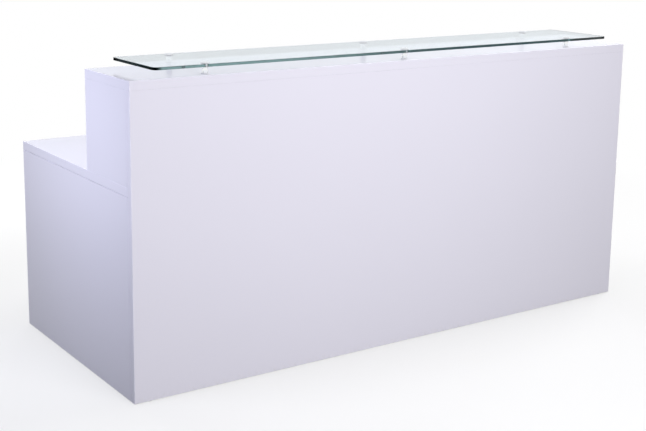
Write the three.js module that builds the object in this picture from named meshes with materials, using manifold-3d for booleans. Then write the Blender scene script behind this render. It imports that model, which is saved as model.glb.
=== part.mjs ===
// Reception desk: a stepped counter of gloss boards with a glass shelf on standoffs,
// two kneeholes and a drawer unit on the staff side.
// Millimetres, +Z up. The origin is on the floor under the middle of the desk's outline.
// Visitors stand at -Y and staff sit at +Y.
import * as THREE from 'three';
import { mergeVertices } from 'three/addons/utils/BufferGeometryUtils.js';
import Module from 'manifold-3d';

const wasm = await Module();
wasm.setup();

// Desk outline
const deskWidth = 2300;
const deskDepth = 960;
const counterHeight = 1100;
const counterDepth = 350;
const worktopHeight = 745;

// Boards
const panelThickness = 25;
const topThickness = 32;
const unitThickness = 18;
const edgeRadius = 1.5;
const edgeSteps = 2;
const staffSetback = 40;

// Glides under the boards
const glideHeight = 3;
const glideDiameter = 20;
const glideChamfer = 1;
const glideInset = 60;

// Glass shelf
const glassThickness = 10;
const glassEndInset = 95;
const glassEdgeInset = 14;
const glassCornerRadius = 12;
const glassArris = 1;
const glassHoleGap = 2;

// Standoffs that carry the glass
const standoffHeight = 26;
const standoffDiameter = 20;
const standoffFootLip = 3;
const standoffFootHeight = 3;
const standoffChamfer = 0.8;
const standoffEndInset = 300;
const standoffEdgeInset = 45;
const capDiameter = 30;
const capHeight = 5;
const capChamfer = 1.2;
const studDiameter = 8;
const studEngagement = 14;

// Drawer unit
const drawerOpening = 400;
const unitDepth = 540;
const unitFloorGap = 47;
const plinthSetback = 40;
const frontGap = 2;
const frontSideGap = 3;
const frontDrop = 14;
const fingerGap = 20;
const gripLip = 4;
const gripDepth = 14;
const shallowFrontHeight = 140;
const railHeight = 50;

// Drawer boxes and their runners
const boxWall = 12;
const boxFloor = 8;
const boxBackGap = 74;
const boxFloorGap = 7;
const runnerSpace = 13;
const runnerHeight = 35;
const runnerDepth = 10;
const runnerWall = 2;
const runnerLift = 12;
const runnerEndGap = 2;

// Lock in the top drawer
const lockDiameter = 16;
const lockWall = 2.2;
const lockRimLip = 2.5;
const lockRimHeight = 2;
const lockRimChamfer = 1;
const lockRailGap = 5;
const lockBoxGap = 4;
const keySlotLength = 7;
const keySlotWidth = 1.5;
const keySlotDepth = 6;
const camLength = 28;
const camWidth = 10;
const camThickness = 2.5;
const camClearance = 3;

// Cable grommets in the worktop
const grommetHoleDiameter = 60;
const grommetFlangeLip = 5;
const grommetFlangeHeight = 2.5;
const grommetFlangeTaper = 1;
const grommetWall = 2.2;
const grommetLedgeWidth = 2.5;
const grommetTubeLength = 22;
const grommetCapThickness = 4;
const grommetNotchWidth = 18;
const grommetNotchDepth = 18;
const grommetCounterGap = 80;

// Fits
const fitGap = 0.3;
const turnedSides = 24;
const grommetSides = 36;

// Faces that the boards share
const halfWidth = deskWidth / 2;
const frontFace = -deskDepth / 2;
const staffFace = deskDepth / 2;
const frontBack = frontFace + panelThickness;
const counterBack = frontFace + counterDepth;
const innerEnd = halfWidth - panelThickness;
const worktopUnder = worktopHeight - topThickness;
const counterUnder = counterHeight - topThickness;
const legEdge = staffFace - staffSetback;

// Drawer unit between the right end panel and its own side panel
const unitSideOuter = innerEnd - drawerOpening - panelThickness;
const unitSideInner = innerEnd - drawerOpening;
const carcassEdge = legEdge - unitThickness - frontGap;
const unitBack = carcassEdge - unitDepth;
const baseUnder = glideHeight + unitFloorGap;
const baseTop = baseUnder + unitThickness;
const railUnder = worktopUnder - railHeight;

// The middle panel stands halfway between the left end panel and the drawer unit
const middleCentre = (unitSideOuter - innerEnd) / 2;

const lacquer = { color: 0xf1f0f6, roughness: 0.12, metalness: 0 };
const melamine = { color: 0xe9e9ec, roughness: 0.45, metalness: 0 };
const clearGlass = { color: 0xcfe6e2, roughness: 0.02, metalness: 0 };
const polishedSteel = { color: 0xd5d8dc, roughness: 0.12, metalness: 1 };
const zincSteel = { color: 0xb4b8bd, roughness: 0.35, metalness: 1 };
const greyPlastic = { color: 0xb9bcc2, roughness: 0.4, metalness: 0 };
const whitePlastic = { color: 0xe6e7ea, roughness: 0.4, metalness: 0 };

const desk = new THREE.Group();
desk.name = 'reception_desk';

function place(name, geometry, finish, position = [0, 0, 0]) {
  const mesh = new THREE.Mesh(geometry, new THREE.MeshStandardMaterial(finish));
  mesh.name = name;
  mesh.position.set(...position);
  desk.add(mesh);
  return mesh;
}

// Turns a shape's plane so that its extrusion runs along X: the shape's x is Y and its y is Z
function alongX(geometry) {
  return geometry.applyMatrix4(new THREE.Matrix4().set(0, 0, 1, 0, 1, 0, 0, 0, 0, 1, 0, 0, 0, 0, 0, 1));
}

// Turns a shape's plane so that its extrusion runs along Y: the shape's x is Z and its y is X
function alongY(geometry) {
  return geometry.applyMatrix4(new THREE.Matrix4().set(0, 1, 0, 0, 0, 0, 1, 0, 1, 0, 0, 0, 0, 0, 0, 1));
}

// A flat piece of the given thickness from z = 0 up, with both rims eased by a small radius
function easedSlab(shape, thickness, radius, steps = edgeSteps, curveSegments = 8) {
  const slab = new THREE.ExtrudeGeometry(shape, {
    depth: thickness - 2 * radius,
    bevelThickness: radius,
    bevelSize: radius,
    bevelOffset: -radius,
    bevelSegments: steps,
    curveSegments,
  });
  return slab.translate(0, 0, radius);
}

function rectangle(x0, x1, y0, y1) {
  return new THREE.Shape()
    .moveTo(x0, y0)
    .lineTo(x1, y0)
    .lineTo(x1, y1)
    .lineTo(x0, y1);
}

function roundedRectangle(x0, x1, y0, y1, radius) {
  return new THREE.Shape()
    .moveTo(x0 + radius, y0)
    .lineTo(x1 - radius, y0)
    .absarc(x1 - radius, y0 + radius, radius, -Math.PI / 2, 0)
    .lineTo(x1, y1 - radius)
    .absarc(x1 - radius, y1 - radius, radius, 0, Math.PI / 2)
    .lineTo(x0 + radius, y1)
    .absarc(x0 + radius, y1 - radius, radius, Math.PI / 2, Math.PI)
    .lineTo(x0, y0 + radius)
    .absarc(x0 + radius, y0 + radius, radius, Math.PI, Math.PI * 1.5);
}

function roundHole(x, y, diameter) {
  return new THREE.Path().absarc(x, y, diameter / 2, 0, Math.PI * 2, true);
}

// Boards named by the axis that their thickness lies along, each with eased rims
function boardFacingX([x0, x1], [y0, y1], [z0, z1]) {
  return alongX(easedSlab(rectangle(y0, y1, z0, z1), x1 - x0, edgeRadius)).translate(x0, 0, 0);
}

function boardFacingY([x0, x1], [y0, y1], [z0, z1]) {
  return alongY(easedSlab(rectangle(z0, z1, x0, x1), y1 - y0, edgeRadius)).translate(0, y0, 0);
}

function boardFacingZ([x0, x1], [y0, y1], [z0, z1], holes = []) {
  const outline = rectangle(x0, x1, y0, y1);
  outline.holes.push(...holes);
  return easedSlab(outline, z1 - z0, edgeRadius, edgeSteps, turnedSides / 2).translate(0, 0, z0);
}

function block([x0, x1], [y0, y1], [z0, z1]) {
  const solid = new THREE.BoxGeometry(x1 - x0, y1 - y0, z1 - z0);
  return solid.translate((x0 + x1) / 2, (y0 + y1) / 2, (z0 + z1) / 2);
}

// A solid of revolution about Z from [radius, height] points, listed upwards along the outside
function turned(points, sides = turnedSides) {
  const profile = points.map(([radius, height]) => new THREE.Vector2(radius, height));
  return new THREE.LatheGeometry(profile, sides).rotateX(Math.PI / 2);
}

function solidOf(geometry) {
  const bare = geometry.clone();
  bare.deleteAttribute('normal');
  bare.deleteAttribute('uv');
  const merged = mergeVertices(bare);
  const corners = merged.index.array;
  const triangles = [];
  for (let i = 0; i < corners.length; i += 3) {
    const [a, b, c] = corners.slice(i, i + 3);
    if (a !== b && b !== c && c !== a) triangles.push(a, b, c);
  }
  return new wasm.Manifold(new wasm.Mesh({
    numProp: 3,
    vertProperties: new Float32Array(merged.attributes.position.array),
    triVerts: new Uint32Array(triangles),
  }));
}

function geometryOf(solid) {
  const mesh = solid.getMesh();
  const geometry = new THREE.BufferGeometry();
  geometry.setAttribute('position', new THREE.BufferAttribute(mesh.vertProperties, 3));
  geometry.setIndex(new THREE.BufferAttribute(mesh.triVerts, 1));
  geometry.computeVertexNormals();
  return geometry;
}

function cutFrom(geometry, ...tools) {
  return geometryOf(tools.reduce((left, tool) => left.subtract(solidOf(tool)), solidOf(geometry)));
}

function joined(geometry, ...others) {
  return geometryOf(others.reduce((whole, other) => whole.add(solidOf(other)), solidOf(geometry)));
}

// Boards of the desk
const grommetY = counterBack + grommetCounterGap;
const grommetXs = {
  left: (middleCentre - panelThickness / 2 - innerEnd) / 2,
  right: (middleCentre + panelThickness / 2 + unitSideOuter) / 2,
};

function addBoards() {
  const lowerHeight = [glideHeight, worktopUnder];
  const upperHeight = [worktopHeight, counterUnder];
  const middle = [middleCentre - panelThickness / 2, middleCentre + panelThickness / 2];
  const unitSide = [unitSideOuter, unitSideInner];
  const left = [-halfWidth, -innerEnd];
  const right = [innerEnd, halfWidth];
  const full = [-halfWidth, halfWidth];

  place('front_panel', boardFacingY(full, [frontFace, frontBack], [glideHeight, counterUnder]), lacquer);
  place('left_end_panel', boardFacingX(left, [frontBack, staffFace], lowerHeight), lacquer);
  place('right_end_panel', boardFacingX(right, [frontBack, staffFace], lowerHeight), lacquer);
  place('middle_panel', boardFacingX(middle, [frontBack, legEdge], lowerHeight), lacquer);
  place('drawer_side_panel', boardFacingX(unitSide, [frontBack, carcassEdge], lowerHeight), lacquer);

  const grommetHoles = Object.values(grommetXs).map((x) => roundHole(x, grommetY, grommetHoleDiameter));
  const worktopSpan = [worktopUnder, worktopHeight];
  place('worktop', boardFacingZ(full, [frontBack, staffFace], worktopSpan, grommetHoles), lacquer);
  place('counter_top', boardFacingZ(full, [frontFace, counterBack], [counterUnder, counterHeight]), lacquer);

  const gableDepth = [frontBack, counterBack];
  place('left_counter_gable', boardFacingX(left, gableDepth, upperHeight), lacquer);
  place('right_counter_gable', boardFacingX(right, gableDepth, upperHeight), lacquer);
  place('middle_counter_divider', boardFacingX(middle, gableDepth, upperHeight), lacquer);
  place('drawer_counter_divider', boardFacingX(unitSide, gableDepth, upperHeight), lacquer);
}

// Nail-in glides, each in the middle of the board that stands on it
function addGlides() {
  const radius = glideDiameter / 2;
  const middleOfFront = (frontFace + frontBack) / 2;
  const spots = {
    front_left: [-halfWidth + glideInset, middleOfFront],
    front_right: [halfWidth - glideInset, middleOfFront],
    left_end: [-(innerEnd + halfWidth) / 2, staffFace - glideInset],
    right_end: [(innerEnd + halfWidth) / 2, staffFace - glideInset],
    middle: [middleCentre, legEdge - glideInset],
    drawer_side: [(unitSideOuter + unitSideInner) / 2, carcassEdge - glideInset],
  };
  for (const [spot, [x, y]] of Object.entries(spots)) {
    const glide = turned([
      [0, 0],
      [radius - glideChamfer, 0],
      [radius, glideChamfer],
      [radius, glideHeight],
      [0, glideHeight],
    ]);
    place(`glide_${spot}`, glide, greyPlastic, [x, y, 0]);
  }
}

// Glass shelf bolted through to six standoffs
function addGlassShelf() {
  const x = halfWidth - glassEndInset;
  const glassUnder = counterHeight + standoffHeight;
  const outline = roundedRectangle(-x, x, frontFace + glassEdgeInset, counterBack - glassEdgeInset,
    glassCornerRadius);
  const columns = { left: standoffEndInset - halfWidth, middle: 0, right: halfWidth - standoffEndInset };
  const rows = { front: frontFace + standoffEdgeInset, rear: counterBack - standoffEdgeInset };
  for (const [row, standoffY] of Object.entries(rows)) {
    for (const [column, standoffX] of Object.entries(columns)) {
      outline.holes.push(roundHole(standoffX, standoffY, studDiameter + 2 * glassHoleGap));
      place(`standoff_${row}_${column}`, standoff(), polishedSteel, [standoffX, standoffY, counterHeight]);
      place(`standoff_cap_${row}_${column}`, standoffCap(), polishedSteel,
        [standoffX, standoffY, glassUnder + glassThickness]);
    }
  }
  place('glass_shelf', easedSlab(outline, glassThickness, glassArris, 1, turnedSides / 2), clearGlass,
    [0, 0, glassUnder]);
}

// A turned barrel on a wider foot, bored from the top for the cap's stud
function standoff() {
  const radius = standoffDiameter / 2;
  const foot = radius + standoffFootLip;
  const bore = studDiameter / 2 + fitGap;
  const boreFloor = standoffHeight - studEngagement - fitGap;
  return turned([
    [0, 0],
    [foot, 0],
    [foot, standoffFootHeight - standoffChamfer],
    [foot - standoffChamfer, standoffFootHeight],
    [radius, standoffFootHeight],
    [radius, standoffHeight - standoffChamfer],
    [radius - standoffChamfer, standoffHeight],
    [bore, standoffHeight],
    [bore, boreFloor],
    [0, boreFloor],
  ]);
}

// A low round head whose stud goes down through the glass into the barrel
function standoffCap() {
  const head = capDiameter / 2;
  const stud = studDiameter / 2;
  const studLength = glassThickness + studEngagement;
  return turned([
    [0, -studLength],
    [stud - standoffChamfer, -studLength],
    [stud, standoffChamfer - studLength],
    [stud, 0],
    [head, 0],
    [head, capHeight - capChamfer],
    [head - capChamfer, capHeight],
    [0, capHeight],
  ]);
}

// Carcass of the drawer unit, closed by the right end panel and the worktop
function addUnitCarcass() {
  const span = [unitSideInner, innerEnd];
  const backInner = unitBack + unitThickness;
  const plinthFace = carcassEdge - plinthSetback;
  place('drawer_unit_back', boardFacingY(span, [unitBack, backInner], [glideHeight, worktopUnder]), lacquer);
  place('drawer_unit_base', boardFacingZ(span, [backInner, carcassEdge], [baseUnder, baseTop]), lacquer);
  place('drawer_unit_plinth',
    boardFacingY(span, [plinthFace - unitThickness, plinthFace], [glideHeight, baseUnder]), lacquer);
  const railDepth = [carcassEdge - unitThickness, carcassEdge];
  place('lock_rail', boardFacingY(span, railDepth, [railUnder, worktopUnder]), lacquer);
}

// A drawer front whose top edge slopes down behind a narrow lip, for the fingers
function drawerFront(width, height) {
  const profile = new THREE.Shape()
    .moveTo(edgeRadius, 0)
    .lineTo(unitThickness - edgeRadius, 0)
    .lineTo(unitThickness, edgeRadius)
    .lineTo(unitThickness, height - edgeRadius)
    .lineTo(unitThickness - edgeRadius, height)
    .lineTo(unitThickness - gripLip, height)
    .lineTo(0, height - gripDepth)
    .lineTo(0, edgeRadius);
  return alongX(new THREE.ExtrudeGeometry(profile, { depth: width, bevelEnabled: false }));
}

// An open box: a floor and four walls
function drawerBox(width, length, height) {
  const outside = block([0, width], [0, length], [0, height]);
  const inside = block([boxWall, width - boxWall], [boxWall, length - boxWall], [boxFloor, 2 * height]);
  return cutFrom(outside, inside);
}

// A channel open towards +X, extruded along Y: a web and two flanges
function channel(height, depth, length) {
  const profile = new THREE.Shape()
    .moveTo(0, 0)
    .lineTo(0, depth)
    .lineTo(runnerWall, depth)
    .lineTo(runnerWall, runnerWall)
    .lineTo(height - runnerWall, runnerWall)
    .lineTo(height - runnerWall, depth)
    .lineTo(height, depth)
    .lineTo(height, 0);
  return alongY(new THREE.ExtrudeGeometry(profile, { depth: length, bevelEnabled: false }));
}

// One drawer with its front, box, a fixed runner on each side and the slide that rides in it
function addDrawer(name, frontBottom, frontHeight) {
  const frontLeft = unitSideOuter;
  const frontWidth = innerEnd - frontSideGap - unitSideOuter;
  const frontBackFace = carcassEdge + frontGap;
  const boxLeft = unitSideInner + runnerSpace;
  const boxWidth = drawerOpening - 2 * runnerSpace;
  const boxLength = unitDepth - unitThickness - boxBackGap + frontGap;
  const boxBack = frontBackFace - boxLength;
  const boxLift = frontDrop + boxFloorGap;
  const boxBottom = frontBottom + boxLift;
  const boxHeight = frontHeight - boxLift - boxDrop;
  const runnerBottom = boxBottom + runnerLift;
  const runnerBack = boxBack - runnerEndGap;
  const runnerLength = carcassEdge - runnerEndGap - runnerBack;

  const front = drawerFront(frontWidth, frontHeight).translate(frontLeft, frontBackFace, frontBottom);
  place(`drawer_front_${name}`, name === 'top' ? cutFrom(front, lockBore()) : front, lacquer);
  place(`drawer_box_${name}`, drawerBox(boxWidth, boxLength, boxHeight), melamine,
    [boxLeft, boxBack, boxBottom]);

  const slideHeight = runnerHeight - 2 * (runnerWall + fitGap);
  const slideDepth = runnerSpace - runnerWall - fitGap;
  const slideBottom = runnerBottom + runnerWall + fitGap;
  const slideLength = frontBackFace - boxBack;
  const sides = { left: [unitSideInner, 0], right: [innerEnd, Math.PI] };
  for (const [side, [wall, turn]] of Object.entries(sides)) {
    const runner = channel(runnerHeight, runnerDepth, runnerLength).translate(0, -runnerLength / 2, 0);
    place(`runner_${name}_${side}`, runner.rotateZ(turn), zincSteel,
      [wall, runnerBack + runnerLength / 2, runnerBottom]);
    const slide = channel(slideHeight, slideDepth, slideLength).translate(0, -slideLength / 2, 0);
    const boxSide = wall === innerEnd ? boxLeft + boxWidth : boxLeft;
    place(`slide_${name}_${side}`, slide.rotateZ(turn + Math.PI), zincSteel,
      [boxSide, boxBack + slideLength / 2, slideBottom]);
  }
}

// Heights of the three fronts, counted down from the worktop
const topFrontTop = worktopUnder - fingerGap;
const topFrontBottom = topFrontTop - shallowFrontHeight;
const middleFrontBottom = topFrontBottom - fingerGap - shallowFrontHeight;
const deepFrontBottom = baseTop - frontDrop;
const deepFrontHeight = middleFrontBottom - fingerGap - deepFrontBottom;

// Lock: a sleeve through the top front, under the rail and over the drawer box,
// and a plug that swings a cam up behind the rail
const lockX = (unitSideOuter + innerEnd - frontSideGap) / 2;
const lockZ = railUnder - lockRailGap - lockDiameter / 2;
const boxDrop = topFrontTop - lockZ + lockDiameter / 2 + lockBoxGap;
const frontFaceY = carcassEdge + frontGap + unitThickness;
const camFront = carcassEdge - unitThickness - camClearance;

// Moves a piece turned about Z so that its axis lies along Y at the lock, pointing at the staff
function atLock(geometry) {
  return geometry.rotateX(-Math.PI / 2).translate(lockX, frontFaceY, lockZ);
}

function lockBore() {
  const radius = lockDiameter / 2 + fitGap;
  const reach = 2 * unitThickness;
  return atLock(turned([[0, -reach], [radius, -reach], [radius, reach], [0, reach]]));
}

function addLock() {
  const sleeveEnd = camFront + fitGap - frontFaceY;
  const body = lockDiameter / 2;
  const rim = body + lockRimLip;
  const bore = body - lockWall;
  const plug = bore - fitGap;
  const sleeve = turned([
    [bore, sleeveEnd],
    [body, sleeveEnd],
    [body, 0],
    [rim, 0],
    [rim, lockRimHeight - lockRimChamfer],
    [rim - lockRimChamfer, lockRimHeight],
    [bore, lockRimHeight],
    [bore, sleeveEnd],
  ]);
  place('lock_sleeve', atLock(sleeve), polishedSteel);

  const camFace = camFront - frontFaceY;
  const camBack = camFace - camThickness;
  const barrel = turned([[0, camBack], [plug, camBack], [plug, lockRimHeight], [0, lockRimHeight]]);
  const cam = block([-camLength, 0], [-camWidth / 2, camWidth / 2], [camBack, camFace]);
  const keySlot = block([-keySlotLength / 2, keySlotLength / 2], [-keySlotWidth / 2, keySlotWidth / 2],
    [lockRimHeight - keySlotDepth, lockRimHeight + keySlotDepth]);
  place('lock_plug', atLock(cutFrom(joined(barrel, cam), keySlot)), polishedSteel);
}

// Cable grommet: a flanged ring in the worktop and a notched cap that turns on a ledge inside it
function addGrommet(name, x) {
  const tube = grommetHoleDiameter / 2 - fitGap;
  const flange = grommetHoleDiameter / 2 + grommetFlangeLip;
  const seat = tube - grommetWall;
  const bore = seat - grommetLedgeWidth;
  const ledge = grommetFlangeHeight - grommetCapThickness - fitGap;
  const ring = turned([
    [bore, -grommetTubeLength],
    [tube, -grommetTubeLength],
    [tube, 0],
    [flange, 0],
    [flange - grommetFlangeTaper, grommetFlangeHeight],
    [seat, grommetFlangeHeight],
    [seat, ledge],
    [bore, ledge],
    [bore, -grommetTubeLength],
  ], grommetSides);
  place(`grommet_ring_${name}`, ring, whitePlastic, [x, grommetY, worktopHeight]);

  const radius = seat - fitGap;
  const half = grommetNotchWidth / 2;
  const rimAngle = Math.acos(half / radius);
  const notchEnd = radius - grommetNotchDepth + half;
  const outline = new THREE.Shape()
    .absarc(0, 0, radius, Math.PI - rimAngle, Math.PI * 2 + rimAngle)
    .lineTo(half, notchEnd)
    .absarc(0, notchEnd, half, 0, -Math.PI, true);
  const disc = new THREE.ExtrudeGeometry(outline, {
    depth: grommetCapThickness, bevelEnabled: false, curveSegments: turnedSides / 2,
  });
  place(`grommet_cap_${name}`, disc, whitePlastic, [x, grommetY, worktopHeight + ledge + fitGap]);
}

addBoards();
addGlides();
addGlassShelf();
addUnitCarcass();
addDrawer('top', topFrontBottom, shallowFrontHeight);
addDrawer('middle', middleFrontBottom, shallowFrontHeight);
addDrawer('bottom', deepFrontBottom, deepFrontHeight);
addLock();
for (const [name, x] of Object.entries(grommetXs)) addGrommet(name, x);

export default desk;
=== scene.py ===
import math

import bpy
import numpy as np
from mathutils import Matrix, Vector
from mathutils.geometry import tessellate_polygon

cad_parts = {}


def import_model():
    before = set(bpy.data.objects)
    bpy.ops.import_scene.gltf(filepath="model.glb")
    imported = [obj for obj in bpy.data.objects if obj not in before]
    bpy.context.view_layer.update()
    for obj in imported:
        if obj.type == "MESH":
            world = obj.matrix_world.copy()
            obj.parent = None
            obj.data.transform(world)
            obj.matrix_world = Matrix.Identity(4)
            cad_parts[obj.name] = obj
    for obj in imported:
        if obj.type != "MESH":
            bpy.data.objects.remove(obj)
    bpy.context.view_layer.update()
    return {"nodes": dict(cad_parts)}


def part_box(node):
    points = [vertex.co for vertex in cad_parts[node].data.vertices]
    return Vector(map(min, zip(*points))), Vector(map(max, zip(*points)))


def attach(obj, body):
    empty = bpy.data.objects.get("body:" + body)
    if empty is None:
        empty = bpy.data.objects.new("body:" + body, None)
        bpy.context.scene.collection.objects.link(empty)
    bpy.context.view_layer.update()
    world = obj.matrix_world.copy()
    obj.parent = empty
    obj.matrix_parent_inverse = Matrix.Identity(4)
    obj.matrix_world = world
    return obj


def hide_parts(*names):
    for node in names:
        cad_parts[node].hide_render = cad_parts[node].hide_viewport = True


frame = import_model()
scene = bpy.context.scene
scene.view_settings.view_transform = "Standard"
mm = 0.001


# camera: fitted to the picture's edges, pixels are those of the 646 x 431 frame
photoCamera = dict(place=(-2.8073, -3.9739, 1.6522), turn=-34.62, dip=11.15, roll=-0.80,
                   focal=1208.0, axis=(323.0, 145.5), picture=(646, 431), sensor=36.0, reach=200.0)


def addCamera(c):
    turn, dip, roll = (math.radians(c[k]) for k in ("turn", "dip", "roll"))
    ahead = np.array([-math.sin(turn) * math.cos(dip), math.cos(turn) * math.cos(dip), -math.sin(dip)])
    across = np.array([math.cos(turn), math.sin(turn), 0.0])
    down = np.cross(ahead, across)
    right = math.cos(roll) * across + math.sin(roll) * down
    below = math.cos(roll) * down - math.sin(roll) * across
    data = bpy.data.cameras.new("camera")
    camera = bpy.data.objects.new("camera", data)
    scene.collection.objects.link(camera)
    pose = np.eye(4)
    pose[:3, :3] = np.stack([right, -below, -ahead], 1)
    pose[:3, 3] = c["place"]
    camera.matrix_world = Matrix(pose.tolist())
    width, height = c["picture"]
    data.sensor_width = c["sensor"]
    data.lens = c["focal"] * c["sensor"] / width
    data.shift_x = (width / 2 - c["axis"][0]) / width
    data.shift_y = (c["axis"][1] - height / 2) / width
    data.clip_end = c["reach"]
    scene.camera = camera


addCamera(photoCamera)
print("camera placed")


# shader maths: a socket that can be added, subtracted and multiplied
class Sock:
    def __init__(self, tree, socket=None):
        self.tree, self.socket = tree, socket

    def node(self, kind, settings={}, inputs={}, output=0):   # any node: type, settings, socket values or links
        made = self.tree.nodes.new(kind)
        for key, value in settings.items():
            if key == "stops":
                fillRamp(made.color_ramp, value)
            else:
                setattr(made, key, value)
        for key, value in inputs.items():
            if isinstance(value, Sock):
                self.tree.links.new(value.socket, made.inputs[key])
            else:
                made.inputs[key].default_value = value
        return Sock(self.tree, made.outputs[output] if len(made.outputs) else None)

    def maths(self, operation, first, second):
        return self.node("ShaderNodeMath", {"operation": operation}, {0: first, 1: second})

    def __add__(self, other):
        return self.maths("ADD", self, other)

    def __radd__(self, other):
        return self.maths("ADD", other, self)

    def __sub__(self, other):
        return self.maths("SUBTRACT", self, other)

    def __rsub__(self, other):
        return self.maths("SUBTRACT", other, self)

    def __mul__(self, other):
        return self.maths("MULTIPLY", self, other)

    def __rmul__(self, other):
        return self.maths("MULTIPLY", other, self)


def fillRamp(ramp, stops):
    while len(ramp.elements) > 1:
        ramp.elements.remove(ramp.elements[-1])
    for i, (at, colour) in enumerate(stops):
        stop = ramp.elements[0] if i == 0 else ramp.elements.new(at)
        stop.position = at
        stop.color = colour


def newFlow(holder):
    holder.use_nodes = True
    holder.node_tree.nodes.clear()
    return Sock(holder.node_tree)


def objectCoords(flow, scale=None):
    place = flow.node("ShaderNodeTexCoord", {}, {}, "Object")
    if scale is None:
        return place
    return flow.node("ShaderNodeMapping", {}, {"Vector": place, "Scale": scale})


def along(flow, place, axis):   # one coordinate of a place
    return flow.node("ShaderNodeSeparateXYZ", {}, {0: place}, axis)


def noise(flow, where, scale, detail=2.0, rough=0.5, twist=0.0):
    return flow.node("ShaderNodeTexNoise", {}, {"Vector": where, "Scale": scale, "Detail": detail,
                                                "Roughness": rough, "Distortion": twist})


def between(flow, value, low, high, start=0.0, end=1.0):   # value from low..high to start..end, eased
    return flow.node("ShaderNodeMapRange", {"interpolation_type": "SMOOTHSTEP"},
                     {"Value": value, "From Min": low, "From Max": high, "To Min": start, "To Max": end})


def blendColour(flow, share, first, second):
    return flow.node("ShaderNodeMix", {"data_type": "RGBA"}, {0: share, 6: first, 7: second}, 2)


def bump(flow, height, depth):
    return flow.node("ShaderNodeBump", {}, {"Height": height, "Strength": 1.0, "Distance": depth})


def finished(flow, material, sockets):
    shader = flow.node("ShaderNodeBsdfPrincipled", {}, sockets)
    flow.node("ShaderNodeOutputMaterial", {}, {"Surface": shader})
    return material


# white gloss lacquer: faint clouds, cloth marks in the gloss, a skin of fine peel and dust along the floor
lacquerLook = dict(
    bright=(0.842, 0.826, 0.930, 1), deep=(0.822, 0.807, 0.910, 1), cloud=dict(scale=1.7, detail=3.0),
    gloss=0.08, wiped=0.05, wipe=dict(scale=2.2, detail=5.0, rough=0.6, twist=0.8), wipeStretch=(3.0, 3.0, 11.0),
    dust=(0.62, 0.61, 0.62, 1), dustHigh=(0.003, 0.028), grit=dict(scale=60.0, detail=4.0, rough=0.7),
    gritBreak=(0.42, 0.75), dustShare=0.25, dustRough=0.6, peel=dict(scale=190.0, detail=1.0), peelDeep=3e-6,
    bend=1.48)


def glossLacquer(c):
    material = bpy.data.materials.new("glossLacquer")
    flow = newFlow(material)
    place = objectCoords(flow)
    height = along(flow, place, "Z")
    cloud = noise(flow, place, **c["cloud"])
    wipe = noise(flow, objectCoords(flow, c["wipeStretch"]), **c["wipe"])   # longer than high
    grit = noise(flow, place, **c["grit"])
    low = between(flow, height, *c["dustHigh"], 1.0, 0.0)
    floorDust = low * between(flow, grit, *c["gritBreak"]) * c["dustShare"]
    colour = blendColour(flow, cloud, c["deep"], c["bright"])
    colour = blendColour(flow, floorDust, colour, c["dust"])
    peel = noise(flow, place, **c["peel"])
    return finished(flow, material, {
        "Base Color": colour, "Roughness": wipe * c["wiped"] + c["gloss"] + floorDust * c["dustRough"],
        "Normal": bump(flow, peel, c["peelDeep"]), "IOR": c["bend"]})


# white melamine inside the drawers: a fine pore and a slow cloud
melamineLook = dict(
    bright=(0.80, 0.80, 0.81, 1), deep=(0.74, 0.74, 0.755, 1), cloud=dict(scale=5.0, detail=3.0), cloudShare=0.6,
    pores=dict(scale=900.0, detail=2.0, rough=0.6), poreShare=0.4, poreRough=0.15, poreDeep=2.5e-5, rough=0.38)


def melamine(c):
    material = bpy.data.materials.new("melamine")
    flow = newFlow(material)
    place = objectCoords(flow)
    pores = noise(flow, place, **c["pores"])
    cloud = noise(flow, place, **c["cloud"])
    tone = cloud * c["cloudShare"] + pores * c["poreShare"]
    return finished(flow, material, {
        "Base Color": blendColour(flow, tone, c["deep"], c["bright"]),
        "Roughness": pores * c["poreRough"] + c["rough"], "Normal": bump(flow, pores, c["poreDeep"])})


# clear glass: the polished edge is darker than the faces, with a painted shade that darkens it between two given
# places along X, and a painted shade makes it nearly black at the ends, past corner, where the sheet is seen along
# its length
glassLook = dict(
    clear=(0.965, 0.985, 1.0, 1), tint=(0.310, 0.520, 0.515, 1), density=7.0, bend=1.52, passing=(1, 1, 1, 1),
    film=dict(scale=7.0, detail=4.0, rough=0.6, twist=0.5), filmBreak=(0.62, 0.85), filmRough=0.05,
    # painted shade on the edge: from front's colour at one X to far's dark teal at the other
    front=(1, 1, 1, 1), far=(0.045, 0.18, 0.20, 1), paintedEdgeShadeSpan=(-0.60, 0.35),
    # painted shade at the ends: a near-black colour with almost no reflection
    end=(0.002, 0.003, 0.0035, 1), endBend=1.02, endRough=0.02, corner=(1.018, 1.045))


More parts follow.
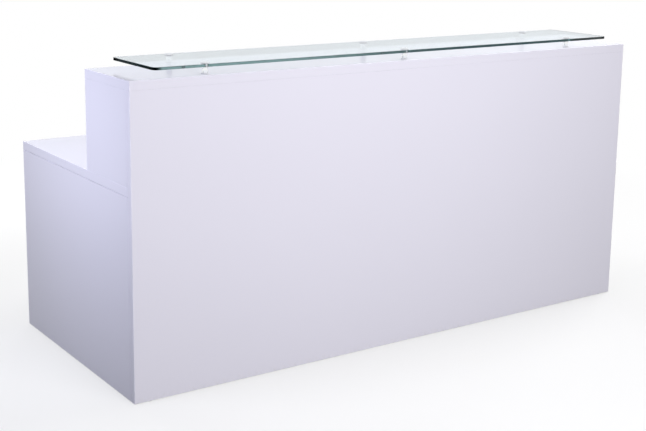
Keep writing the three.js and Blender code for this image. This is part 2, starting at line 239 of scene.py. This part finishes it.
def shelfGlass(c):
    material = bpy.data.materials.new("shelfGlass")
    flow = newFlow(material)
    place = objectCoords(flow)
    film = noise(flow, place, **c["film"])
    across = along(flow, place, "X")
    rim = flow.node("ShaderNodeAttribute", {"attribute_name": "rim"}, {}, "Fac")
    # painted shade: the edge's colour darkens along X
    edge = blendColour(flow, between(flow, across, *c["paintedEdgeShadeSpan"]), c["front"], c["far"])
    sheet = flow.node("ShaderNodeBsdfPrincipled", {}, {
        "Base Color": blendColour(flow, rim, c["clear"], edge), "IOR": c["bend"], "Transmission Weight": 1.0,
        "Roughness": between(flow, film, *c["filmBreak"], 0.0, c["filmRough"])})
    # painted shade: the near-black shader for the sheet's ends
    end = flow.node("ShaderNodeBsdfPrincipled", {}, {
        "Base Color": c["end"], "Roughness": c["endRough"], "IOR": c["endBend"], "Transmission Weight": 1.0})
    paintedEndShade = rim * between(flow, across * across, *(x ** 2 for x in c["corner"]))
    whole = flow.node("ShaderNodeMixShader", {}, {0: paintedEndShade, 1: sheet, 2: end})
    passing = flow.node("ShaderNodeBsdfTransparent", {}, {"Color": c["passing"]})   # lamps reach the counter below
    shadow = flow.node("ShaderNodeLightPath", {}, {}, "Is Shadow Ray")
    surface = flow.node("ShaderNodeMixShader", {}, {0: shadow, 1: whole, 2: passing})
    body = flow.node("ShaderNodeVolumeAbsorption", {}, {"Color": c["tint"], "Density": c["density"]})
    flow.node("ShaderNodeOutputMaterial", {}, {"Surface": surface, "Volume": body})
    return material


# turned metal: fine lines round the axis and finger smudges
turnedMarks = dict(turning=(40.0, 40.0, 5200.0), lines=dict(scale=1.0, detail=2.0), lineRough=0.06,
                   smudges=dict(scale=85.0, detail=4.0, rough=0.6, twist=0.4), smudgeRough=0.10)
steelLook = dict(turnedMarks, name="polishedSteel", colour=(0.93, 0.935, 0.945, 1), smudge=(0.86, 0.865, 0.88, 1),
                 lineDeep=1.2e-6, rough=0.02)
nickelLook = dict(turnedMarks, name="satinNickel", colour=(0.56, 0.55, 0.53, 1), smudge=(0.47, 0.46, 0.44, 1),
                  lineDeep=2.0e-6, rough=0.16)


def turnedMetal(c):
    material = bpy.data.materials.new(c["name"])
    flow = newFlow(material)
    lines = noise(flow, objectCoords(flow, c["turning"]), **c["lines"])
    smudge = noise(flow, objectCoords(flow), **c["smudges"])
    colour = blendColour(flow, smudge, c["colour"], c["smudge"])
    if "keywayShade" in c:   # painted shade in the key slot, dark from just behind the plug's face to the bottom of its slot
        keywayShade = c["keywayShade"]
        depth = c["face"] - along(flow, objectCoords(flow), "Y")
        inside = between(flow, depth, *keywayShade["mouth"]) * between(flow, depth, *keywayShade["floor"], 1.0, 0.0)
        colour = blendColour(flow, inside, colour, keywayShade["colour"])
    rough = smudge * c["smudgeRough"] + lines * c["lineRough"] + c["rough"]
    return finished(flow, material, {
        "Base Color": colour, "Metallic": 1.0, "Roughness": rough, "Normal": bump(flow, lines, c["lineDeep"])})


# zinc on the runners: spangles, and lines drawn along the channel
zincLook = dict(bright=(0.60, 0.615, 0.64, 1), deep=(0.44, 0.455, 0.48, 1), spangle=320.0, spangleShare=0.6,
                spangleRough=0.14, drawing=(900.0, 6.0, 900.0), drawn=dict(scale=1.0, detail=2.0), drawnShare=0.4,
                drawnRough=0.10, rough=0.24)


def zincSteel(c):
    material = bpy.data.materials.new("zincSteel")
    flow = newFlow(material)
    place = objectCoords(flow)
    spangle = flow.node("ShaderNodeTexVoronoi", {}, {"Vector": place, "Scale": c["spangle"]}, "Color")
    tone = flow.node("ShaderNodeSeparateColor", {}, {0: spangle}, 0)
    drawn = noise(flow, objectCoords(flow, c["drawing"]), **c["drawn"])
    share = tone * c["spangleShare"] + drawn * c["drawnShare"]
    return finished(flow, material, {
        "Base Color": blendColour(flow, share, c["deep"], c["bright"]), "Metallic": 1.0,
        "Roughness": tone * c["spangleRough"] + drawn * c["drawnRough"] + c["rough"]})


# moulded plastic and rubber: a fine skin and a slow cloud
mouldedSkin = dict(skin=dict(scale=1500.0, detail=2.0, rough=0.6), skinRough=0.12, skinDeep=1.5e-5,
                   cloud=dict(scale=40.0, detail=2.0))
whiteLook = dict(mouldedSkin, name="whitePlastic", bright=(0.82, 0.82, 0.835, 1), deep=(0.77, 0.77, 0.785, 1),
                 rough=0.30)
greyLook = dict(mouldedSkin, name="greyPlastic", bright=(0.46, 0.47, 0.49, 1), deep=(0.38, 0.39, 0.41, 1),
                rough=0.36)
rubberLook = dict(mouldedSkin, name="rubber", bright=(0.46, 0.46, 0.48, 1), deep=(0.40, 0.40, 0.42, 1),
                  rough=0.5)


def moulded(c):
    material = bpy.data.materials.new(c["name"])
    flow = newFlow(material)
    place = objectCoords(flow)
    skin = noise(flow, place, **c["skin"])
    cloud = noise(flow, place, **c["cloud"])
    return finished(flow, material, {
        "Base Color": blendColour(flow, cloud, c["deep"], c["bright"]),
        "Roughness": skin * c["skinRough"] + c["rough"], "Normal": bump(flow, skin, c["skinDeep"])})


lacquer = glossLacquer(lacquerLook)
drawerBoard = melamine(melamineLook)
glass = shelfGlass(glassLook)
steel = turnedMetal(steelLook)
nickel = turnedMetal(nickelLook)
zinc = zincSteel(zincLook)
whitePlastic = moulded(whiteLook)
greyPlastic = moulded(greyLook)
rubber = moulded(rubberLook)
print("finishes made:", len(bpy.data.materials))


# surfaces
def box(node):
    low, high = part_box(node)
    return np.array(low), np.array(high)


def middle(node):   # x and y of a node's middle
    low, high = box(node)
    return ((low + high) / 2)[:2]


# quads between neighbouring rings of a grid, rings running upwards and points anticlockwise
def ringFaces(rings, around, closed=False):
    i = np.arange(rings if closed else rings - 1)[:, None]
    j = np.arange(around)[None, :]
    below, above = i * around, (i + 1) % rings * around
    ahead = (j + 1) % around
    return np.stack([below + j, below + ahead, above + ahead, above + j], -1).reshape(-1, 4)


# the quads of a grid, closed by one face on its first ring and one on its last
def closedFaces(rings, around):
    last = (rings - 1) * around
    return ringFaces(rings, around).tolist() + [list(range(around))[::-1], list(range(last, last + around))]


# equal points become one, and faces lose the corners that fell together
def weld(points, faces, normals=None, reach=1e-7):
    keys = np.round(points / reach).astype(np.int64)
    first, back = np.unique(keys, axis=0, return_index=True, return_inverse=True)[1:]
    back = back.ravel()
    kept = []
    for face in faces:
        corners = back[np.asarray(face)]
        corners = corners[corners != np.roll(corners, 1)]
        if len(corners) > 2 and len(set(corners.tolist())) == len(corners):
            kept.append(corners.tolist())
    return points[first], kept, None if normals is None else normals[first]


# a rim's inset, height and normal: a quarter circle below and one above a straight side
def easedRim(low, high, under, over, steps):
    turn = np.linspace(-math.pi / 2, 0, steps + 1)
    inset, out, sink = 1 - np.cos(turn), np.cos(turn), np.sin(turn)
    lower = np.stack([under * inset, low + under * (1 + sink), out, sink], 1)
    upper = np.stack([over * inset, high - over * (1 + sink), out, -sink], 1)[::-1]
    return np.concatenate([lower, upper])


# rings of a rounded rectangle, each drawn in by the rim's inset: a corner's arc shrinks until it is a point
def rectangleRings(low, high, corner, rim, steps):
    turn = np.radians(np.arange(4)[:, None] * 90 + np.linspace(0, 90, steps + 1)).ravel()
    signX, signY = (np.repeat(s, steps + 1) for s in ([1, -1, -1, 1], [1, 1, -1, -1]))
    centre, half = (low[:2] + high[:2]) / 2, (high[:2] - low[:2]) / 2
    inset, height, out, up = (rim[:, k:k + 1] for k in range(4))
    back, arc = np.maximum(corner, inset), np.maximum(corner - inset, 0)
    x = centre[0] + signX * (half[0] - back) + arc * np.cos(turn)
    y = centre[1] + signY * (half[1] - back) + arc * np.sin(turn)
    flat = 0 * turn
    return (np.stack([x, y, height + flat], -1),
            np.stack([out * np.cos(turn), out * np.sin(turn), up + flat], -1))


# rings round a hole, widened by the rim's inset and running clockwise, so that its wall faces the axis
def holeRings(x, y, radius, rim, sides):
    turn = -np.linspace(0, 2 * math.pi, sides, endpoint=False)
    inset, height, out, up = (rim[:, k:k + 1] for k in range(4))
    wide, flat = radius + inset, 0 * turn
    return (np.stack([x + wide * np.cos(turn), y + wide * np.sin(turn), height + flat], -1),
            np.stack([-out * np.cos(turn), -out * np.sin(turn), up + flat], -1))


# a flat plate: a rim carried round a rounded rectangle and round each hole, closed by two flat faces
def plate(low, high, corner, rim, steps, holes=(), sides=0):
    loops = [rectangleRings(low, high, corner, rim, steps)] + [holeRings(*h, rim, sides) for h in holes]
    points, normals, faces, bottom, top, count = [], [], [], [], [], 0
    for ring, normal in loops:
        around = ring.shape[1]
        points.append(ring.reshape(-1, 3))
        normals.append(normal.reshape(-1, 3))
        faces += (ringFaces(len(rim), around) + count).tolist()
        bottom.append(np.arange(around) + count)
        top.append(np.arange(around) + count + (len(rim) - 1) * around)
        count += ring.shape[0] * around
    points, normals = np.concatenate(points), np.concatenate(normals)
    if not holes:
        faces += [top[0].tolist(), bottom[0][::-1].tolist()]
    for loopsOfFace, upward in ((top, True), (bottom, False)) if holes else ():
        names = np.concatenate(loopsOfFace)
        corners = np.array(tessellate_polygon([[Vector(p) for p in points[l]] for l in loopsOfFace]))
        tri = names[corners]
        a, b, c = (points[tri[:, k], :2] for k in range(3))
        facesUp = np.cross(b - a, c - a) > 0
        tri[facesUp != upward] = tri[facesUp != upward][:, ::-1]
        faces += tri.tolist()
    return weld(points, faces, normals)


# a profile of radius and height carried round an axis
def turned(profile, sides, centre, closed=False, axis="z"):
    radius, height = np.array(profile, float).T[:, :, None]
    turn = np.linspace(0, 2 * math.pi, sides, endpoint=False)
    x, y, z = radius * np.cos(turn), radius * np.sin(turn), height + 0 * turn
    points = np.stack([x, z, -y] if axis == "y" else [x, y, z], -1).reshape(-1, 3) + np.array(centre)
    return weld(points, ringFaces(len(profile), sides, closed).tolist())


# a closed profile with soft corners: each corner is a parabola between two points on its sides
def softened(profile, reach, steps):
    corner = np.array(profile, float)
    back, ahead = np.roll(corner, 1, 0) - corner, np.roll(corner, -1, 0) - corner
    back, ahead = (v / np.linalg.norm(v, axis=1, keepdims=True) for v in (back, ahead))
    s = np.linspace(0, 1, steps + 1)[None, :, None]
    start, end, mid = ((corner + d)[:, None] for d in (back * reach, ahead * reach, 0 * corner))
    return ((1 - s) ** 2 * start + 2 * s * (1 - s) * mid + s ** 2 * end).reshape(-1, 2)


# a closed profile drawn along X (profile in Y and Z) or along Y (profile in Z and X)
def extruded(profile, start, end, axis):
    first, second = np.tile(profile, (2, 1)).T
    run = np.repeat([start, end], len(profile))
    points = np.stack([run, first, second] if axis == "x" else [second, run, first], 1)
    return weld(points, closedFaces(2, len(profile)))


def merged(shapes):   # several surfaces as one mesh
    points, faces, count = [], [], 0
    for shape in shapes:
        points.append(shape[0])
        faces += [[i + count for i in face] for face in shape[1]]
        count += len(shape[0])
    return np.concatenate(points), faces, None


pieceEdges = dict(sharp=30.0, bevelFrom=50.0, bevelSteps=3)   # angles in degrees


def addPiece(name, shape, finish, body, nodes=(), bevel=0.0):
    points, faces, normals = shape
    mesh = bpy.data.meshes.new(name)
    mesh.from_pydata(points.tolist(), [], faces)
    mesh.materials.append(finish)
    mesh.shade_smooth()
    if normals is not None:
        mesh.normals_split_custom_set_from_vertices(normals.tolist())
    else:
        mesh.set_sharp_from_angle(angle=math.radians(pieceEdges["sharp"]))
    piece = bpy.data.objects.new(name, mesh)
    scene.collection.objects.link(piece)
    if bevel:
        soften = piece.modifiers.new("easedEdges", "BEVEL")
        soften.width, soften.segments = bevel, pieceEdges["bevelSteps"]
        soften.limit_method, soften.angle_limit = "ANGLE", math.radians(pieceEdges["bevelFrom"])
        soften.harden_normals = True
    if nodes:
        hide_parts(*nodes)
    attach(piece, body)
    return piece


# boards: tops have rounded edge bands, and panels are cut square, with an open joint below the board they carry
boards = dict(steps=4, band=1.6 * mm, tight=0.5 * mm, square=0.3 * mm, joints=(
    (0.05 * mm, ("front_panel", "left_counter_gable", "right_counter_gable", "middle_counter_divider",
                 "drawer_counter_divider")),
    (0.60 * mm, ("left_end_panel", "right_end_panel", "middle_panel", "drawer_side_panel")),
    (0.15 * mm, ("drawer_unit_back", "drawer_unit_base", "drawer_unit_plinth", "lock_rail"))))


def addBoard(c, name, under, over, joint=0.0, holes=(), sides=0):
    low, high = box(name)
    rim = easedRim(low[2], high[2] - joint, under, over, c["steps"])
    shape = plate(low, high, c["band"], rim, c["steps"], holes, sides)
    addPiece(name + "_board", shape, lacquer, "desk", [name])


def addBoards(c, g):
    addBoard(c, "counter_top", c["tight"], c["band"])
    for joint, panels in c["joints"]:
        for name in panels:
            addBoard(c, name, c["square"], c["square"], joint)
    holes = [(*middle("grommet_ring_" + name), g["hole"]) for name in g["names"]]
    addBoard(c, "worktop", c["band"], c["band"], 0.0, holes, g["sides"])


# cable ports: the crown gives each point's distance in from the flange's edge, and its height
grommets = dict(names=("left", "right"), sides=96, hole=30.0 * mm, tube=29.7 * mm, bore=25.0 * mm, length=22.0 * mm,
                flange=35.0 * mm, lip=2.5 * mm, seat=27.5 * mm, ledge=-1.8 * mm, soft=0.5 * mm,
                crown=np.array([(0.0, 0.0), (0.2, 0.9), (0.7, 1.7), (1.6, 2.3), (2.8, 2.5)]) * mm,
                cap=27.2 * mm, capEdge=0.4 * mm, notch=18.0 * mm, curl=24)


# a ring: tube, flange and the seat for its cap in one closed profile, turned round the hole
def addGrommets(g):
    soft = g["soft"]
    for name in g["names"]:
        x, y = middle("grommet_ring_" + name)
        z = box("grommet_ring_" + name)[1][2] - g["lip"]
        profile = [(g["bore"], -g["length"]), (g["tube"] - soft, -g["length"]), (g["tube"], soft - g["length"]),
                   (g["tube"], 0), *((g["flange"] - inset, height) for inset, height in g["crown"]),
                   (g["seat"] + soft, g["lip"]), (g["seat"], g["lip"] - soft), (g["seat"], g["ledge"]),
                   (g["bore"], g["ledge"])]
        addPiece("cable_ring_" + name, turned(profile, g["sides"], (x, y, z), True), whitePlastic, "desk",
                 ["grommet_ring_" + name])
        addPiece("cable_cap_" + name, grommetCap(g, x, y, *box("grommet_cap_" + name)), whitePlastic,
                 "cap_" + name, ["grommet_cap_" + name], g["capEdge"])


# a disc with a slot for cables: an arc of the rim, then a straight side, a half circle and the other side
def grommetCap(g, x, y, low, high):
    half = g["notch"] / 2
    opening = math.acos(half / g["cap"])
    rim = np.linspace(math.pi - opening, 2 * math.pi + opening, g["sides"])
    curl = np.linspace(0, -math.pi, g["curl"] + 1)
    depth = g["cap"] - g["notch"] + half
    outline = np.concatenate([g["cap"] * np.stack([np.cos(rim), np.sin(rim)], 1),
                              np.stack([half * np.cos(curl), depth + half * np.sin(curl)], 1)])
    around = len(outline)
    points = np.concatenate([np.column_stack([outline + (x, y), np.full(around, z)]) for z in (low[2], high[2])])
    return weld(points, closedFaces(2, around))


addBoards(boards, grommets)
addGrommets(grommets)
print("boards and cable ports made")


# glass shelf and its fixings
fixingSpots = [f"{row}_{column}" for row in ("front", "rear") for column in ("left", "middle", "right")]
shelf = dict(corner=18.0 * mm, arris=0.4 * mm, steps=14, hole=6.0 * mm, sides=48, rimReach=6.0 * mm, rimSlope=0.9)


# a drilled plate whose rim is a straight side between two flat chamfers, the outer one marked for its finish
def addShelf(c):
    low, high = box("glass_shelf")
    arris = c["arris"]
    rim = np.array([(arris, low[2], 0, 0), (0, low[2] + arris, 0, 0), (0, high[2] - arris, 0, 0),
                    (arris, high[2], 0, 0)])
    holes = [(*middle("standoff_" + spot), c["hole"]) for spot in fixingSpots]
    points, faces, _ = plate(low, high, c["corner"], rim, c["steps"], holes, c["sides"])
    sheet = addPiece("glass_sheet", (points, faces, None), glass, "desk", ["glass_shelf"])
    count = len(sheet.data.polygons)
    centres, normals = np.empty(count * 3, np.float32), np.empty(count * 3, np.float32)
    sheet.data.polygons.foreach_get("center", centres)
    sheet.data.polygons.foreach_get("normal", normals)
    centres = centres.reshape(-1, 3)[:, :2]
    outer = np.minimum(centres - low[:2], high[:2] - centres).min(1) < c["rimReach"]   # not the drilled holes
    upright = np.abs(normals.reshape(-1, 3)[:, 2]) < c["rimSlope"]
    rimOf = sheet.data.attributes.new("rim", "FLOAT", "FACE")
    rimOf.data.foreach_set("value", (outer & upright).astype(np.float32))


# lengths in mm: the crown gives each point's distance in from the cap's edge, and its depth below the top
fixing = dict(sides=64, ease=0.2, seat=12.4, seatHigh=0.9, flange=13.0, flangeHigh=2.4,
              flangeCrown=((0.0, 0.5), (0.2, 0.15), (0.6, 0.0)), barrel=10.0, fillet=0.6, groove=0.7,
              grooveFrom=4.4, grooveTo=3.6, boreClear=0.4, boreDeep=12.0, washer=1.0, washerWide=(9.8, 14.8),
              washerEase=0.3, washerClear=0.5, glassThick=10.0, bush=5.6, bushShort=0.2, cap=15.0, capHigh=4.2,
              crown=((0.0, 1.6), (0.25, 0.9), (0.9, 0.35), (2.0, 0.15), (6.0, 0.05)), stud=4.0, studDeep=11.0,
              studInCap=0.5, pitch=1.25, thread=0.45, threadSteps=8, threadSides=32)


# thread: the radius of each point is a triangle wave of its height less its share of a turn
def threaded(c, low, high, centre):
    sides = c["threadSides"]
    rows = int((high - low) / c["pitch"] * c["threadSteps"])
    height = np.linspace(low, high, rows)[:, None]
    turn = np.linspace(0, 2 * math.pi, sides, endpoint=False)
    wave = np.abs((height / c["pitch"] - turn / (2 * math.pi)) % 1.0 - 0.5) * 2
    radius = c["stud"] - c["thread"] * (1 - wave)
    grid = np.stack([radius * np.cos(turn), radius * np.sin(turn), height + 0 * turn], -1)
    ends = np.zeros((2, 1, sides, 3))
    ends[0, ..., 2], ends[1, ..., 2] = low, high
    grid = np.concatenate([ends[0], grid, ends[1]])
    points = grid.reshape(-1, 3) * mm + np.array(centre)
    return weld(points, ringFaces(rows + 2, sides).tolist())


# profile of the barrel: flange, hollow fillet, straight side with a groove, rounded top and bore
def barrelProfile(c, top):
    f, r, e, o, g = (c[key] for key in ("flange", "barrel", "ease", "fillet", "groove"))
    foot, shoulder, bore = c["seatHigh"], c["flangeHigh"], c["stud"] + c["boreClear"]
    low, high, deep = top - c["grooveFrom"], top - c["grooveTo"], top - c["boreDeep"]
    return [(0, foot), (f - e, foot), (f, foot + e), *((f - inset, shoulder - d) for inset, d in c["flangeCrown"]),
            (r + o, shoulder), (r + e, shoulder + e), (r, shoulder + o), (r, low), (r - g, low + g), (r - g, high),
            (r, high + g), (r, top - o), (r - o, top), (bore, top), (bore, deep), (0, deep)]


# closed profile of a washer with eased outer edges
def washerProfile(c, low, high, wide):
    bore, e = c["stud"] + c["washerClear"], c["washerEase"]
    return [(bore, low), (wide - e, low), (wide, low + e), (wide, high - e), (wide - e, high), (bore, high)]


# every fixing is a set of profiles turned round one axis, with heights counted from the counter
def addFixings(c):
    for spot in fixingSpots:
        low, high = box("standoff_" + spot)
        centre = np.array([*middle("standoff_" + spot), low[2]])

        def onAxis(profile, closed=False):
            return turned(np.array(profile) * mm, c["sides"], centre, closed)

        tall = (high[2] - low[2]) / mm
        top, glassTop = tall - c["washer"], tall + c["glassThick"]
        wide, foot, e = c["seat"], c["seatHigh"], c["ease"]
        ring = [(0, 0), (wide - e, 0), (wide, e), (wide, foot), (0, foot)]
        addPiece("seat_" + spot, onAxis(ring), rubber, "desk", ["standoff_" + spot])
        addPiece("barrel_" + spot, onAxis(barrelProfile(c, top)), steel, "desk",
                 ["standoff_" + spot])
        capTop = (box("standoff_cap_" + spot)[1][2] - low[2]) / mm
        capLow = capTop - c["capHigh"]
        head = [(0, capLow), (c["cap"] - e, capLow), (c["cap"], capLow + e),
                *((c["cap"] - inset, capTop - d) for inset, d in c["crown"]), (0, capTop)]
        stud = threaded(c, top - c["studDeep"], capLow + c["studInCap"], centre)
        addPiece("cap_" + spot, merged([onAxis(head), stud]), steel, "desk",
                 ["standoff_cap_" + spot])
        gaps = zip(((top, tall), (glassTop, capLow)), c["washerWide"])
        pads = [onAxis(washerProfile(c, *gap, wide), True) for gap, wide in gaps]
        addPiece("washers_" + spot, merged(pads), whitePlastic, "desk")
        bore, start, end = c["stud"] + c["boreClear"], tall + c["bushShort"], glassTop - c["bushShort"]
        bush = [(bore, start), (c["bush"], start), (c["bush"], end), (bore, end)]
        addPiece("bush_" + spot, onAxis(bush, True), whitePlastic, "desk")


addShelf(shelf)
addFixings(fixing)
print("glass shelf and fixings made")


# glides: a low foot rounded towards the floor, its profile in shares of the radius and the height
glides = dict(spots=("front_left", "front_right", "left_end", "right_end", "middle", "drawer_side"), sides=48,
              foot=((0, 0), (0.78, 0), (0.9, 0.08), (0.97, 0.25), (1, 0.5), (1, 1), (0, 1)))


def addGlides(c):
    for spot in c["spots"]:
        low, high = box("glide_" + spot)
        profile = np.array(c["foot"]) * ((high[0] - low[0]) / 2, high[2] - low[2])
        addPiece("foot_" + spot, turned(profile, c["sides"], [*middle("glide_" + spot), low[2]]), greyPlastic,
                 "desk", ["glide_" + spot])


# drawers: a face is its outline seen from the side, drawn across its width
drawers = dict(names=("top", "middle", "bottom"), lip=4.0 * mm, slope=14.0 * mm, soft=1.2 * mm, softSteps=3,
               edge=0.8 * mm)


def addDrawers(c):
    for name in c["names"]:
        body = "drawer_" + name
        low, high = box("drawer_front_" + name)
        back, face, foot, top = low[1], high[1], low[2], high[2]
        outline = [(back, foot), (face, foot), (face, top), (face - c["lip"], top), (back, top - c["slope"])]
        outline = softened(outline, c["soft"], c["softSteps"])
        addPiece(f"{body}_face", extruded(outline, low[0], high[0], "x"), lacquer, body,
                 ["drawer_front_" + name], c["edge"])
        addPiece(f"{body}_tray", openBox(tray, *box("drawer_box_" + name)), drawerBoard, body,
                 ["drawer_box_" + name])
        for side, turn in (("left", 1), ("right", -1)):
            addRunner(runner, f"runner_{name}_{side}", "desk", turn)
            addRunner(runner, f"slide_{name}_{side}", body, -turn)


tray = dict(wall=12.0 * mm, floor=8.0 * mm, edge=1.0 * mm, edgeSteps=8, foot=0.6 * mm, cove=2.0 * mm,
            corner=1.0 * mm, cornerSteps=3)


# an open box: one rim goes up outside, over the rounded edge and down inside
def openBox(c, low, high):
    wall, edge, foot, cove, floor = (c[key] for key in ("wall", "edge", "foot", "cove", "floor"))
    turn = np.linspace(0, math.pi, c["edgeSteps"] + 1)[:, None]
    over = np.concatenate([wall / 2 - (wall / 2) * np.cos(turn), high[2] - edge + edge * np.sin(turn)], 1)
    rim = np.concatenate([[(foot, low[2]), (0, low[2] + foot)], over,
                          [(wall, low[2] + floor + cove), (wall + cove, low[2] + floor)]])
    rim = np.concatenate([rim, np.zeros((len(rim), 2))], 1)
    rings = rectangleRings(low, high, c["corner"], rim, c["cornerSteps"])[0]
    return weld(rings.reshape(-1, 3), closedFaces(len(rim), rings.shape[1]))


runner = dict(steel=2.0 * mm, fold=0.5 * mm, foldSteps=2)


# a folded channel along Y, open towards +X or -X
def addRunner(c, node, body, turn):
    low, high = box(node)
    z0, z1 = low[2], high[2]
    wall, deep = (low[0], high[0]) if turn > 0 else (-high[0], -low[0])
    t = c["steel"]
    outline = np.array([(z0, wall), (z0, deep), (z0 + t, deep), (z0 + t, wall + t), (z1 - t, wall + t),
                        (z1 - t, deep), (z1, deep), (z1, wall)])
    if turn < 0:
        outline = (outline * (1, -1))[::-1]
    outline = softened(outline[::-1], c["fold"], c["foldSteps"])
    addPiece(node + "_channel", extruded(outline, low[1], high[1], "y"), zinc, body, [node])


addGlides(glides)
addDrawers(drawers)
print("drawers and glides made")


# lock, lengths in mm: the crown gives each point's distance in from the rim, and its height
lock = dict(sides=64, body=8.0, bore=5.8, mouth=0.6, rim=10.5, high=2.0,
            crown=((0.0, 0.0), (0.0, 0.8), (0.3, 1.4), (0.9, 1.85), (1.6, 2.0)),
            # painted shade in the key slot: its near-black colour and the depths where it starts and ends
            keywayShade=dict(colour=(0.03, 0.03, 0.03, 1), mouth=(0.2 * mm, 0.6 * mm), floor=(6.5 * mm, 7.5 * mm)))


# a ring: sleeve, rim and the plug's bore in one closed profile, turned round the lock's axis
def addLock(c):
    low, high = box("lock_sleeve")
    x, z = (low[0] + high[0]) / 2, (low[2] + high[2]) / 2
    face = high[1] - c["high"] * mm
    end = (low[1] - face) / mm
    bore, mouth = c["bore"], c["mouth"]
    profile = [(bore, end), (c["body"], end), (c["body"], 0),
               *((c["rim"] - inset, height) for inset, height in c["crown"]),
               (bore + mouth, c["high"]), (bore, c["high"] - mouth)]
    ring = turned(np.array(profile) * mm, c["sides"], (x, face, z), True, "y")
    addPiece("lock_ring", ring, nickel, "drawer_top", ["lock_sleeve"])
    plug = frame["nodes"]["lock_plug"]
    plug.data.materials.clear()
    plug.data.materials.append(turnedMetal(dict(nickelLook, name="plugNickel", face=high[1], keywayShade=c["keywayShade"])))


addLock(lock)
print("lock made")


# stage: a white floor that keeps the shadow near the desk, and a pale studio round it
floorLook = dict(reach=40.0, colour=(0.80, 0.80, 0.80, 1), bounce=(0.025, 0.025, 0.026, 1), white=(1, 1, 1, 1),
                 shade=0.42, near=1.7, far=3.6)
studio = dict(stops=[(0.50, (1.0, 1.0, 1.0, 1)), (0.525, (1.0, 1.0, 1.0, 1)), (0.55, (0.93, 0.965, 1.0, 1)),
                     (0.59, (0.93, 0.965, 1.0, 1)), (0.65, (0.84, 0.84, 0.88, 1)), (1.0, (0.66, 0.66, 0.68, 1))],
              ambient=(0.90, 0.93, 1.0, 1), level=0.10, lostInGlass=0.67)
lamps = dict(
    front=dict(place=(-0.25, -3.9, 1.75), aim=(-0.1, -0.5, 0.8), size=(2.6, 1.4), power=124.0, colour=(1, 0.99, 1)),
    overhead=dict(place=(0.9, -0.3, 3.3), aim=(0.9, -0.3, 0.0), size=(2.6, 1.4), power=36.0, colour=(1, 1, 0.98)),
    left=dict(place=(-2.45, -0.16, 1.45), aim=(-1.12, -0.06, 0.66), size=(1.3, 0.6), power=8.5,
              colour=(0.82, 0.84, 1), spread=104.0),
    desktop=dict(place=(-1.3, 1.7, 2.4), aim=(-1.0, 0.3, 0.7), size=(1.2, 0.9), power=8.0, colour=(1, 1, 0.98)),
    rearLeft=dict(place=(-1.2, 3.7, 1.5), aim=(0.0, 0.3, 0.5), size=(1.4, 1.4), power=58.0, colour=(1, 1, 1)),
    rearRight=dict(place=(1.2, 3.7, 1.5), aim=(0.0, 0.3, 0.5), size=(1.4, 1.4), power=58.0, colour=(1, 1, 1)),
    right=dict(place=(3.6, 0.2, 2.6), aim=(1.1, 0.0, 0.6), size=(1.6, 1.8), power=64.0, colour=(1, 1, 1)))


# 1 for camera, glossy and transmission rays, less for those straight through glass, 0 once off a matt surface
def seenRays(flow, lost):
    def ray(name):
        return flow.node("ShaderNodeLightPath", {}, {}, name)

    def before(name):   # none of that kind so far
        return flow.maths("LESS_THAN", ray(name), 0.5)

    through = ray("Is Transmission Ray")
    seen = flow.maths("MAXIMUM", ray("Is Camera Ray"), flow.maths("MAXIMUM", ray("Is Glossy Ray"), through))
    return seen * before("Diffuse Depth") * (1 - through * before("Glossy Depth") * lost)


def addFloor(c, lost):
    r = c["reach"]
    mesh = bpy.data.meshes.new("floor")
    mesh.from_pydata([(-r, -r, 0), (r, -r, 0), (r, r, 0), (-r, r, 0)], [], [(0, 1, 2, 3)])
    floor = bpy.data.objects.new("floor", mesh)
    scene.collection.objects.link(floor)
    material = bpy.data.materials.new("floorWhite")
    flow = newFlow(material)
    away = flow.node("ShaderNodeVectorMath", {"operation": "LENGTH"}, {0: objectCoords(flow)}, "Value")
    far = between(flow, away, c["near"], c["far"])
    lit = flow.node("ShaderNodeBsdfDiffuse", {}, {"Color": c["colour"]})
    dim = flow.node("ShaderNodeBsdfDiffuse", {}, {"Color": c["bounce"]})
    glow = flow.node("ShaderNodeEmission", {}, {"Color": c["white"], "Strength": 1.0})
    shaded = flow.node("ShaderNodeMixShader", {}, {0: (1.0 - c["shade"]) + far * c["shade"], 1: lit, 2: glow})
    surface = flow.node("ShaderNodeMixShader", {}, {0: seenRays(flow, lost), 1: dim, 2: shaded})
    flow.node("ShaderNodeOutputMaterial", {}, {"Surface": surface})
    mesh.materials.append(material)


def addStudio(c):
    world = bpy.data.worlds.new("studio")
    scene.world = world
    flow = newFlow(world)
    direction = flow.node("ShaderNodeTexCoord", {}, {}, "Generated")
    height = along(flow, direction, "Z") * 0.5 + 0.5   # 0 straight down, 1 straight up
    surround = flow.node("ShaderNodeValToRGB", {"stops": c["stops"]}, {0: height})
    pale = flow.node("ShaderNodeBackground", {}, {"Color": surround, "Strength": 1.0})
    ambient = flow.node("ShaderNodeBackground", {}, {"Color": c["ambient"], "Strength": c["level"]})
    mixed = flow.node("ShaderNodeMixShader", {}, {0: seenRays(flow, c["lostInGlass"]), 1: ambient, 2: pale})
    flow.node("ShaderNodeOutputWorld", {}, {"Surface": mixed})


def addLamps(lampSet):
    for name, c in lampSet.items():
        data = bpy.data.lights.new(name, "AREA")
        data.shape = "RECTANGLE"
        data.size, data.size_y = c["size"]
        data.energy, data.color = c["power"], c["colour"]
        data.spread = math.radians(c.get("spread", 180.0))
        data.cycles.use_multiple_importance_sampling = False   # so the counter under the glass gets all its light
        lamp = bpy.data.objects.new(name, data)
        scene.collection.objects.link(lamp)
        lamp.location = c["place"]
        lamp.rotation_mode = "QUATERNION"
        lamp.rotation_quaternion = (Vector(c["aim"]) - Vector(c["place"])).to_track_quat("-Z", "Y")
        lamp.visible_camera = False
        lamp.visible_glossy = lamp.visible_transmission = False   # gloss and glass show the pale studio instead


addFloor(floorLook, studio["lostInGlass"])
addStudio(studio)
addLamps(lamps)
print("stage lit:", ", ".join(lamps))
